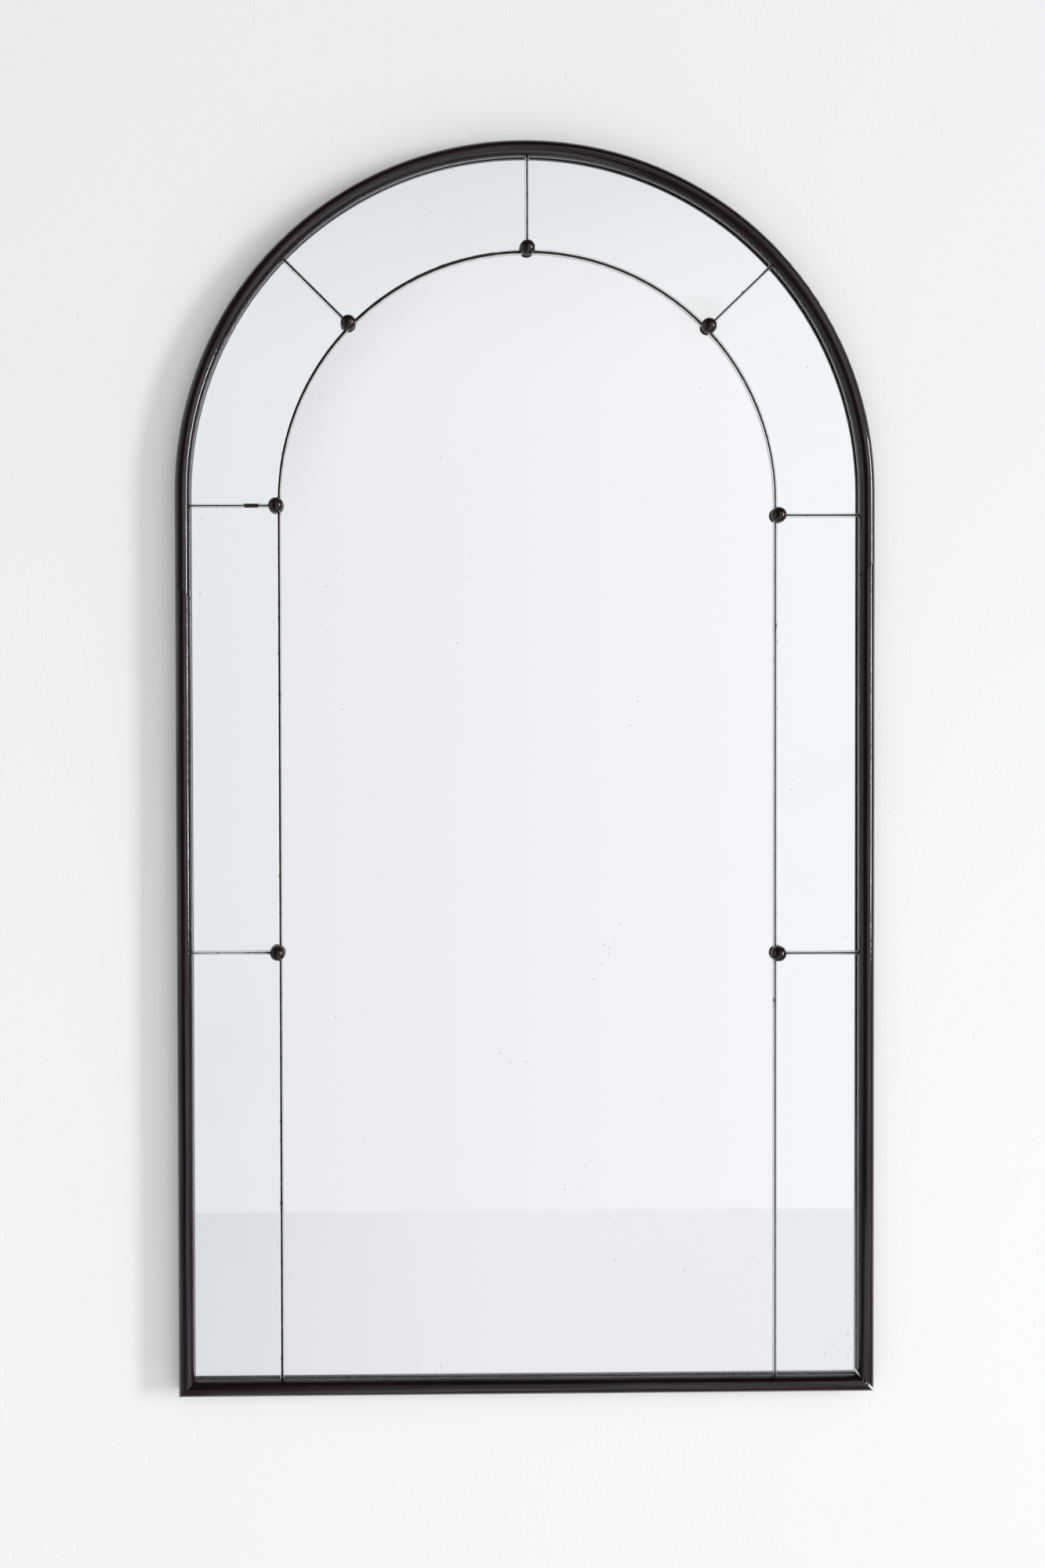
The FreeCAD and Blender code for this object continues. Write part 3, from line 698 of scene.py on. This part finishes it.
def silver_coat(name, pane, material):
    """A thin sheet just in front of a pane's rear face."""
    mesh = merged_copy(pane)
    others = [face for face in mesh.faces if abs(face.calc_center_median().y - GLASS_BACK) > 1e-5]
    bmesh.ops.delete(mesh, geom=others, context="FACES")
    rim = bmesh.ops.inset_region(mesh, faces=mesh.faces[:], thickness=SILVER_INSET, use_boundary=True)
    bmesh.ops.delete(mesh, geom=rim["faces"], context="FACES")
    loose = [vert for vert in mesh.verts if not vert.link_faces]
    bmesh.ops.delete(mesh, geom=loose, context="VERTS")
    bmesh.ops.translate(mesh, verts=mesh.verts, vec=(0, -SILVER_DEPTH, 0))
    grown = bmesh.ops.extrude_face_region(mesh, geom=mesh.faces[:])
    raised = [part for part in grown["geom"] if isinstance(part, bmesh.types.BMVert)]
    bmesh.ops.translate(mesh, verts=raised, vec=(0, -SILVER_THICKNESS, 0))
    bmesh.ops.recalc_face_normals(mesh, faces=mesh.faces)
    add_piece(name, mesh_data(name, mesh, material))


def scarf_glue(name, side, outer_z, material):
    """Dark old glue deep in the open scarf between the hoop and a stile."""
    mesh = bmesh.new()
    rings = []
    for lift in (GLUE_SKIN - SCARF_GAP, -GLUE_SKIN):
        ring = []
        for inset, y in GLUE_SECTION:
            z = outer_z - inset + lift
            ring.append(mesh.verts.new((side * (HALF_WIDTH - inset), y, z)))
        rings.append(ring)
    low, high = rings
    mesh.faces.new(low)
    mesh.faces.new(high)
    for here in range(len(low)):
        after = (here + 1) % len(low)
        mesh.faces.new((low[here], low[after], high[after], high[here]))
    bmesh.ops.recalc_face_normals(mesh, faces=mesh.faces)
    add_piece(name, mesh_data(name, mesh, material))


def old_glue():
    """Dark crusted glue."""
    material, tree = new_finish("old_glue")
    x, y, z = tree.axes()
    crust = tree.noise(tree.point(x, y, z), 700.0, 3.0, 0.6)
    brown = tree.mix(crust, (0.004, 0.003, 0.003, 1), (0.016, 0.009, 0.006, 1))
    tree.principled(
        {
            "Base Color": brown,
            "Roughness": 0.55 + 0.3 * crust,
            "Normal": tree.bump(crust, 0.0002),
        }
    )
    return material


def dress_scarfs():
    glue = old_glue()
    scarf_glue("left_scarf_glue", -1, LEFT_SCARF_Z, glue)
    scarf_glue("right_scarf_glue", 1, RIGHT_SCARF_Z, glue)


def dress_moulding():
    put_on(moulding_wood("hoop_wood", bent_grain), "arch_frame")
    put_on(moulding_wood("stile_wood", upright_grain), "left_stile", "right_stile")
    put_on(moulding_wood("rail_wood", level_grain), "bottom_rail")


def dress_studs():
    for stud in STUDS:
        low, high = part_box(stud)
        put_on(stud_wood(stud + "_wood", (low + high) / 2), stud)


def dress_panes():
    put_on(pane_glass(), "centre_pane", *BORDER_PANES)
    centre = old_silver("centre_silver", (0.926, 0.933, 0.968, 1), 0.05)
    border = old_silver("border_silver", (0.904, 0.932, 0.965, 1), 0.22)
    silver_coat("centre_silver", "centre_pane", centre)
    for pane in BORDER_PANES:
        silver_coat(pane.replace("pane", "silver"), pane, border)


def dress_back():
    put_on(felt_cloth(), "backing_felt")
    put_on(plywood(), "back_board")
    put_on(washer_leather(), "stud_washers")
    screw = brushed_steel("screw_steel", (0.56, 0.54, 0.50, 1), 0.35)
    hanger = brushed_steel("hanger_steel", (0.50, 0.50, 0.49, 1), 0.5)
    put_on(screw, "stud_screws", "board_screws", "joint_nails", "hanger_screws")
    group = screw_tree()
    drive_screws(group, "stud_screws", 0.0024, 0.00175, 3, screw)
    drive_screws(group, "board_screws", 0.002, 0.0016, 5, screw)
    drive_screws(group, "hanger_screws", 0.0017, 0.00175, 7, screw)
    put_on(hanger, "left_hanger", "right_hanger")


def stage_plane(name, corners, material):
    """A plane of the stage that neither shades the part nor lights it."""
    mesh = bmesh.new()
    mesh.faces.new([mesh.verts.new(corner) for corner in corners])
    plane = add_object(name, mesh_data(name, mesh, material))
    plane.visible_shadow = False
    plane.visible_diffuse = False


def seen_directly(tree):
    """1 for rays that show the background: straight, mirrored or through glass."""
    path = tree.node("ShaderNodeLightPath", output="Is Camera Ray")
    seen = tree.maths("MAXIMUM", path, path.out("Is Glossy Ray"))
    return tree.maths("MAXIMUM", seen, path.out("Is Transmission Ray"))


def wall_paint():
    """Pale wall paint, with painted shade darkening it towards the top, that takes the shadow and is
    clear from behind.
    """
    material, tree = new_finish("wall_paint")
    behind = tree.node("ShaderNodeNewGeometry", output="Backfacing")
    path = tree.node("ShaderNodeLightPath", output="Ray Length")
    touching = tree.fade(path, 0.012, 0.011) * (1 - path.out("Is Camera Ray"))
    clear = tree.maths("MAXIMUM", behind, touching)
    x, y, z = tree.axes()
    # Painted shade: the paint is darker towards the top of the wall
    colour = tree.mix(tree.fade(z, -1.2, 0.75), (0.915, 0.915, 0.918, 1), (0.835, 0.835, 0.846, 1))
    stipple = tree.bump(tree.noise(tree.point(x * 420, 0.0, z * 300), 1.0, 2.0), 0.00024)
    paint = tree.node("ShaderNodeBsdfDiffuse", inputs={"Color": colour, "Normal": stipple})
    nothing = tree.node("ShaderNodeBsdfTransparent")
    tree.surface(tree.node("ShaderNodeMixShader", inputs={0: clear, 1: paint, 2: nothing}))
    return material


def room_round(tree, x, y, levels):
    """How bright a mirrored part of the room is, by its bearing."""
    turn = tree.maths("ARCTAN2", x, 0 - y) * (1 / (2 * pi)) + 0.5
    return tree.node("ShaderNodeValToRGB", {"stops": levels}, {"Fac": turn})


def floor_paint():
    """A pale floor for the camera and the panes. Polished wood mirrors it by its bearing."""
    material, tree = new_finish("floor_paint")
    matt = tree.node("ShaderNodeBsdfDiffuse", inputs={"Color": (0.30, 0.30, 0.305, 1)})
    x, y, z = tree.axes()
    colour = tree.mix(tree.fade(x, -0.9, 0.2), (0.80, 0.81, 0.82, 1), (0.93, 0.93, 0.94, 1))
    path = tree.node("ShaderNodeLightPath", output="Is Camera Ray")
    clear = tree.maths("MAXIMUM", path, path.out("Is Transmission Ray"))
    level = tree.maths("MAXIMUM", clear, room_round(tree, x + HALF_WIDTH, y, WOOD_LEVELS))
    glow = {"Color": colour, "Strength": 0.83 * seen_directly(tree) * level}
    lit = tree.node("ShaderNodeEmission", inputs=glow)
    tree.surface(tree.node("ShaderNodeAddShader", inputs={0: matt, 1: lit}))
    return material


def bearing(degrees):
    """Where a bearing from straight ahead, right positive, lies on the room's ramp."""
    return 0.5 + degrees / 360


# How bright the room is around: as the polished wood mirrors it, and as the panes do
WOOD_LEVELS = (
    (bearing(-100), 0.70),
    (bearing(-60), 0.62),
    (bearing(-42), 0.08),
    (bearing(-6), 0.06),
    (bearing(10), 0.80),
    (bearing(24), 1.0),
    (bearing(58), 1.0),
    (bearing(66), 0.16),
    (bearing(86), 0.16),
    (bearing(100), 0.85),
)
PANE_LEVELS = (
    (bearing(-9), 0.90),
    (bearing(-4), 0.92),
    (bearing(6), 0.955),
    (bearing(16), 1.0),
)


def set_stage():
    """The wall that the mirror hangs on, and the floor."""
    left, right = -ROOM_HALF_WIDTH, ROOM_HALF_WIDTH
    wall = [
        (left, WALL_Y, FLOOR_Z),
        (right, WALL_Y, FLOOR_Z),
        (right, WALL_Y, WALL_TOP_Z),
        (left, WALL_Y, WALL_TOP_Z),
    ]
    floor = [
        (left, FLOOR_FRONT_Y, FLOOR_Z),
        (right, FLOOR_FRONT_Y, FLOOR_Z),
        (right, FLOOR_BACK_Y, FLOOR_Z),
        (left, FLOOR_BACK_Y, FLOOR_Z),
    ]
    stage_plane("wall", wall, wall_paint())
    stage_plane("floor", floor, floor_paint())


def set_world():
    """A soft pale room, dim overhead, whose reflections have darker doorways to both sides."""
    world = bpy.data.worlds.new("pale_room")
    world.use_nodes = True
    tree = Tree(world.node_tree)
    direction = tree.node("ShaderNodeTexCoord", output="Generated")
    x, y, z = tree.axes(direction)
    dim = tree.fade(z, 0.47, 0.66)
    dull = tree.fade(z, 0.20, 0.50) * 0.3
    lean = 0.25 + 0.75 * tree.maths("ABSOLUTE", y) + 0.32 * x - 0.40 * z
    fill = tree.mix(lean, (0, 0, 0, 1), (1.08, 1.08, 1.086, 1))
    in_wood = tree.mix(dim, room_round(tree, x, y, WOOD_LEVELS), (0.05, 0.05, 0.055, 1))
    in_pane = tree.mix(dull, room_round(tree, x, y, PANE_LEVELS), (0, 0, 0, 1))
    path = tree.node("ShaderNodeLightPath", output="Is Camera Ray")
    glossy = tree.mix(path.out("Is Glossy Ray"), fill, in_wood)
    room = tree.mix(path.out("Is Transmission Ray"), glossy, in_pane)
    colour = tree.mix(path, room, (1, 1, 1, 1))
    backdrop = tree.node("ShaderNodeBackground", inputs={"Color": colour, "Strength": 1.0})
    tree.node("ShaderNodeOutputWorld", inputs={"Surface": backdrop})
    bpy.context.scene.world = world


def aim(thing, target):
    """Turns a lamp to face a point."""
    direction = Vector(target) - thing.location
    thing.rotation_euler = direction.to_track_quat("-Z", "Y").to_euler()


def set_lamp():
    """A window-sized softbox, well to the right."""
    softbox = bpy.data.lights.new("softbox", "AREA")
    softbox.shape = "RECTANGLE"
    softbox.size = 1.8
    softbox.size_y = 5.3
    softbox.energy = 693.0
    lamp = add_object("softbox", softbox)
    lamp.location = (10.44, -5.91, 0.35)
    aim(lamp, (0, 0, -0.45))
    lamp.visible_camera = False
    lamp.visible_transmission = False


def set_camera():
    """The photograph's view: left of the middle, with the picture shifted to frame the mirror."""
    camera = bpy.data.cameras.new("camera")
    camera.sensor_width = 36.0
    camera.lens = 36.0
    camera.shift_x = 0.0864
    camera.shift_y = -0.0230
    holder = add_object("camera", camera)
    holder.location = (-0.205, -2.0114, -0.396)
    holder.rotation_euler = (radians(90 - 0.828), radians(0.178), radians(-0.820))
    bpy.context.scene.camera = holder


bpy.context.scene.view_settings.view_transform = "Standard"
dress_moulding()
dress_scarfs()
dress_studs()
dress_panes()
dress_back()
set_stage()
set_world()
set_lamp()
set_camera()
